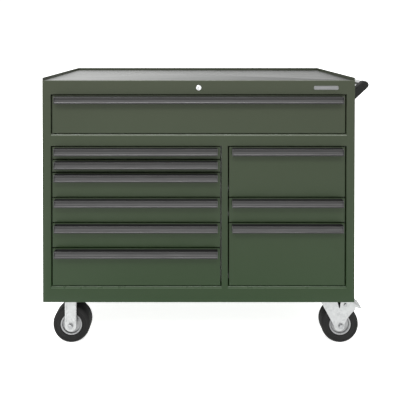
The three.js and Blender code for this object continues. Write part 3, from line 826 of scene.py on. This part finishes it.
def wheel(kind, end):
    """A cushioned rubber tyre on a light metal hub, with a bearing boss."""
    body = f"{kind}_wheel_{end}"
    low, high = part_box(f"{kind}_tyre_{end}")
    centre = (low + high) / 2
    radius, half = (high.x - low.x) / 2, (high.y - low.y) / 2
    place = spot(centre, (0, -1, 0))
    hub_low, hub_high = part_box(f"{kind}_hub_{end}")
    rim = (hub_high.x - hub_low.x) / 2
    inner = rim + 0.2 * MM

    def mirrored(points):
        return [*points, *[(r, -h) for r, h in reversed(points)]]

    turns = [math.radians(a) for a in (0, 12, 24, 36, 48, 60, 72, 84)]
    shoulder = [(radius - 9 * MM + 9 * MM * math.sin(a), half - 10 * MM + 10 * MM * math.cos(a)) for a in turns]
    tyre = [(inner, half - 6 * MM), (inner + 1.2 * MM, half - 1.6 * MM), (inner + 3 * MM, half - 0.8 * MM),
            (inner + 4 * MM, half - 1.6 * MM), (radius - 15 * MM, half - 0.6 * MM),
            (radius - 13.6 * MM, half - 1.3 * MM), (radius - 12.2 * MM, half - 0.1 * MM), *shoulder,
            (radius, 9 * MM), (radius - 0.9 * MM, 8.4 * MM), (radius - 0.9 * MM, 7.4 * MM), (radius, 6.8 * MM)]
    ring = turn(mirrored(tyre), place, 96, closed=True)
    made = piece(f"tyre_{kind}_{end}", ring, rubber, body, crease=45)
    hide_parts(f"{kind}_tyre_{end}")
    bore = 6.3 * MM
    hub = [(bore, half + 0.8 * MM), (12.5 * MM, half + 0.8 * MM), (13.5 * MM, half + 0.1 * MM),
           (15 * MM, half - 5 * MM), (17 * MM, half - 6.4 * MM), (31 * MM, half - 8.2 * MM),
           (33 * MM, half - 7.6 * MM), (35.5 * MM, half - 3.2 * MM), (38.4 * MM, half - 2.2 * MM),
           (rim - 0.6 * MM, half - 2.4 * MM), (rim, half - 3.4 * MM)]
    made = piece(f"hub_{kind}_{end}", turn(mirrored(hub), place, 80, closed=True), hub_metal, body)
    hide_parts(f"{kind}_hub_{end}")
    rivets = []
    circle = 23 * MM
    for side in (-1, 1):
        for i in range(6):
            a = math.radians(60 * i + 20)
            at = Vector((centre.x + circle * math.cos(a), centre.y + side * (half - 7.4 * MM),
                         centre.z + circle * math.sin(a)))
            rivets.append(screw_head(spot(at, (0, side, 0)), 2.6 * MM, 1.6 * MM))
    piece(f"hub_rivets_{kind}_{end}", merged(*rivets), steel, body)


def axle(kind, end, body):
    """The wheel's bolt: a shaft with a hexagon head in front and a nut behind."""
    low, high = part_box(f"{kind}_axle_{end}")
    centre = (low + high) / 2
    half = (high.y - low.y) / 2
    place = spot(centre, (0, -1, 0))
    head = 5 * MM
    profile = [(0, -half + head), (6 * MM, -half + head), (6 * MM, half - head), (0, half - head)]
    shaft = turn(profile, place, 24)
    bolt = hex_head(spot(centre + Vector((0, -half + head, 0)), (0, -1, 0)), 15 * MM, head)
    nut = hex_head(spot(centre + Vector((0, half - head, 0)), (0, 1, 0)), 15 * MM, head)
    made = piece(f"axle_bolt_{kind}_{end}", merged(shaft, bolt, nut), steel, body, crease=30)
    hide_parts(f"{kind}_axle_{end}")


PLATE = 3 * MM
# how far a leg's inner and outer face are from the middle of the wheel
LEG_INNER, LEG_OUTER = 28 * MM, 32 * MM


def mounting_plate(name, low, high):
    """A caster's top plate with round corners. Its four bolts are a piece of their own."""
    base = high.z - PLATE
    levels = ((0.6 * MM, 0), (0, 0.6 * MM), (0, PLATE - 0.2 * MM), (0.2 * MM, PLATE))
    bolts = []
    for x in (low.x + 14 * MM, high.x - 14 * MM):
        for y in (low.y + 12 * MM, high.y - 12 * MM):
            bolts.append(hex_head(spot((x, y, base), (0, 0, -1)), 13 * MM, 5 * MM))
    piece(f"plate_bolts_{name}", merged(*bolts), steel, "cabinet", crease=30)
    return slab(low.x, high.x, low.y, high.y, base, levels, 8 * MM, 5)


def leg_pair(outline, centre_y):
    """Two pressed legs, one each side of the wheel."""
    sides = ((-LEG_OUTER, -LEG_INNER), (LEG_INNER, LEG_OUTER))
    return merged(*[run(outline, centre_y + a, centre_y + b, plane_xz) for a, b in sides])


def rigid_caster(end):
    """The plate with its bolts, and two straight legs with two raised ribs each."""
    low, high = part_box(f"rigid_fork_{end}")
    axle_low, axle_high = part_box(f"rigid_axle_{end}")
    x, z = (axle_low.x + axle_high.x) / 2, (axle_low.z + axle_high.z) / 2
    y = (low.y + high.y) / 2
    half = 22 * MM
    top = high.z - PLATE
    legs = [(x + half, top + 1 * MM), (x - half, top + 1 * MM), *arc(x, z, half, 180, 360, 24)]
    made = piece(f"fork_rigid_{end}", leg_pair(legs, y), zinc, "cabinet",
                 bevel=1.3 * MM, segments=3)
    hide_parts(f"rigid_fork_{end}")
    plate = mounting_plate(f"rigid_{end}", low, high)
    piece(f"plate_rigid_{end}", plate, zinc, "cabinet", crease=40)
    ribs = []
    for side in (-1, 1):
        for edge in (-1, 1):
            rib_x = x + edge * 17 * MM
            outline = rounded(rib_x - 2.4 * MM, rib_x + 2.4 * MM, z + 16 * MM, top - 4 * MM, 2.3 * MM, 4)
            ribs.append(run(outline, y + side * 31.6 * MM, y + side * 33.2 * MM, plane_xz))
    piece(f"fork_rigid_ribs_{end}", merged(*ribs), zinc, "cabinet", bevel=0.7 * MM)


def swivel_caster(end):
    """The fixed plate and race, and the crown, the V-shaped legs and the brake that turn under them."""
    body = f"swivel_{end}"
    plate_low, plate_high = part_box(f"swivel_plate_{end}")
    axle_low, axle_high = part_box(f"swivel_axle_{end}")
    x, z = (axle_low.x + axle_high.x) / 2, (axle_low.z + axle_high.z) / 2
    pin_x = (plate_low.x + plate_high.x) / 2
    y = (plate_low.y + plate_high.y) / 2
    plate = mounting_plate(f"swivel_{end}", plate_low, plate_high)
    made = piece(f"plate_swivel_{end}", plate, zinc, "cabinet", crease=40)
    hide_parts(f"swivel_plate_{end}")
    under = plate_high.z - PLATE
    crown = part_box(f"swivel_fork_{end}")[1].z
    place = spot((pin_x, y, 0), (0, 0, 1))
    race = [(0, crown + 0.4 * MM), (26 * MM, crown + 0.4 * MM), (30 * MM, crown + 1.6 * MM),
            (31 * MM, crown + 4 * MM), (29 * MM, under), (0, under)]
    piece(f"race_swivel_{end}", turn(race, place, 56), zinc, "cabinet")
    lower = [(0, crown - 5 * MM), (33 * MM, crown - 5 * MM), (35 * MM, crown - 3.4 * MM),
             (35 * MM, crown - 1.4 * MM), (33 * MM, crown), (24 * MM, crown + 0.2 * MM), (0, crown + 0.2 * MM)]
    kingpin = hex_head(spot((pin_x, y, crown - 5 * MM), (0, 0, -1)), 17 * MM, 5 * MM)
    piece(f"crown_swivel_{end}", merged(turn(lower, place, 56), kingpin), zinc, body, crease=30)
    top = crown - 1 * MM
    notch_z = top - 27 * MM
    legs = [(x + 57 * MM, top - 18 * MM), (x + 46 * MM, top), (x, top), (x - 4 * MM, notch_z),
            (x - 6 * MM, notch_z), (x - 14 * MM, top), (pin_x - 38 * MM, top),
            *arc(x - 6 * MM, z, 20 * MM, 180, 360, 24), (x + 15 * MM, z + 8 * MM), (x + 24 * MM, z + 28 * MM),
            (x + 42 * MM, z + 50 * MM), (x + 54 * MM, z + 62 * MM)]
    made = piece(f"fork_swivel_{end}", leg_pair(legs, y), zinc, body,
                 bevel=1.3 * MM, segments=3)
    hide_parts(f"swivel_fork_{end}")
    brake(end, y)


def brake(end, y):
    """The pedal, a plate that slopes down to the right, and the pin that it tips on."""
    low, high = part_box(f"brake_pedal_{end}")
    body = f"brake_{end}"
    pivot_x = low.x + 10 * MM
    pivot_z = high.z - 6 * MM
    outline = [(-10, 4.2), (-10, -4.8), (12, -8.8), (40, -16.8), (63, -21.8), (65.6, -20.4), (66, -17.6),
               (46, -5), (22, 2), (8, 6), (-8, 5.2)]
    points = [(pivot_x + u * MM, pivot_z + v * MM) for u, v in outline]
    lever = run(points, y - 22 * MM, y + 22 * MM, plane_xz)
    made = piece(f"brake_lever_{end}", lever, zinc, body, bevel=1.6 * MM, segments=3)
    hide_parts(f"brake_pedal_{end}")
    place = spot((pivot_x, y, pivot_z), (0, 1, 0))
    head = [(4 * MM, 32.4 * MM), (6 * MM, 32.6 * MM), (6 * MM, 34 * MM), (5.4 * MM, 35 * MM), (0, 35 * MM)]
    profile = [*[(r, -h) for r, h in reversed(head)], *head]
    piece(f"brake_pin_{end}", turn(profile, place, 24), steel, body)


def casters():
    for end in ("front", "rear"):
        rigid_caster(end)
        wheel("rigid", end)
        axle("rigid", end, "cabinet")
        swivel_caster(end)
        wheel("swivel", end)
        axle("swivel", end, f"swivel_{end}")


# ---- stage ----------------------------------------------------------------------------------------------


FLOOR_GLOW = 0.7
WORLD_LIGHT = 1.1


def area_light(name, location, target, size, power):
    """A lamp of the given size in metres and power in watts, aimed at a point."""
    light = bpy.data.lights.new(name, "AREA")
    light.shape = "RECTANGLE"
    light.size, light.size_y = size
    light.energy = power
    obj = bpy.data.objects.new(name, light)
    obj.location = location
    obj.rotation_euler = (Vector(target) - Vector(location)).to_track_quat("-Z", "Y").to_euler()
    scene.collection.objects.link(obj)


def stage():
    """A white floor that glows a little, an even white world and two lamps."""
    floor_bm = bmesh.new()
    bmesh.ops.create_grid(floor_bm, x_segments=1, y_segments=1, size=30)
    mesh = bpy.data.meshes.new("floor")
    floor_bm.to_mesh(mesh)
    floor_bm.free()
    material, _, shader = node_material("floor_white", (0.93, 0.93, 0.925), roughness=0.7, specular=0.2)
    shader.inputs["Emission Color"].default_value = (1, 1, 1, 1)
    shader.inputs["Emission Strength"].default_value = FLOOR_GLOW
    mesh.materials.append(material)
    floor = bpy.data.objects.new("floor", mesh)
    scene.collection.objects.link(floor)
    world = bpy.data.worlds.new("studio")
    world.use_nodes = True
    background = world.node_tree.nodes["Background"]
    background.inputs["Color"].default_value = (1.0, 1.0, 0.995, 1)
    background.inputs["Strength"].default_value = WORLD_LIGHT
    scene.world = world
    area_light("overhead", (-1.1, 0.2, 2.6), (-0.4, 0, 1.0), (1.6, 1.2), 35)
    area_light("front", (-0.3, -2.1, 3.1), (0, -0.2, 0.6), (3.6, 0.8), 105)
    scene.view_settings.view_transform = "Standard"


front_frame()
all_drawers()
cabinet_panels()
top_sheet()
panel_fixings()
badge()
lock()
side_handle()
casters()
stage()
